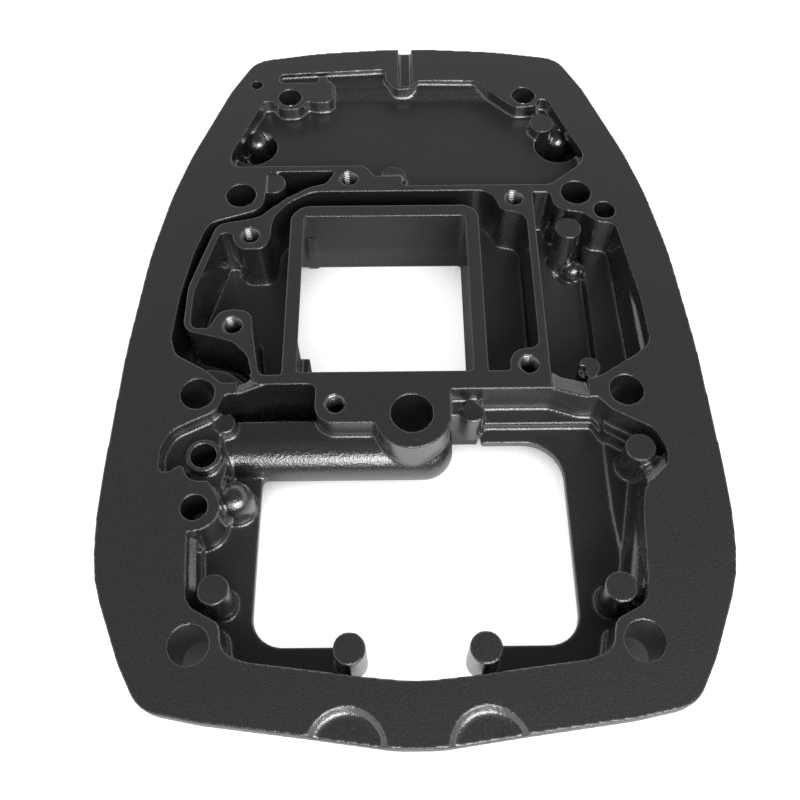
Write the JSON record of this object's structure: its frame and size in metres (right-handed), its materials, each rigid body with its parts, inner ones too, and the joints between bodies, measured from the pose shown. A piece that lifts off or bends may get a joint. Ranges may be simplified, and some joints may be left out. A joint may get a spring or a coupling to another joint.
{
  "type": "outboard exhaust guide plate",
  "caption": "Black cast plate that seats an outboard powerhead on its midsection, with an exhaust duct, water galleries, side chambers, a rear opening and bolt holes.",
  "frame": {"origin": "midway between the two middle bolt holes, on the top gasket face", "axes": "+Z out of the top gasket face, +Y towards the narrow front end with the slot, +X to the right of that"},
  "size_m": [0.243, 0.34, 0.0385],
  "materials": {
    "black_paint": "satin black paint on a fine cast skin"
  },
  "bodies": {
    "root": {"guide_plate": "black_paint"}
  },
  "joints": []
}
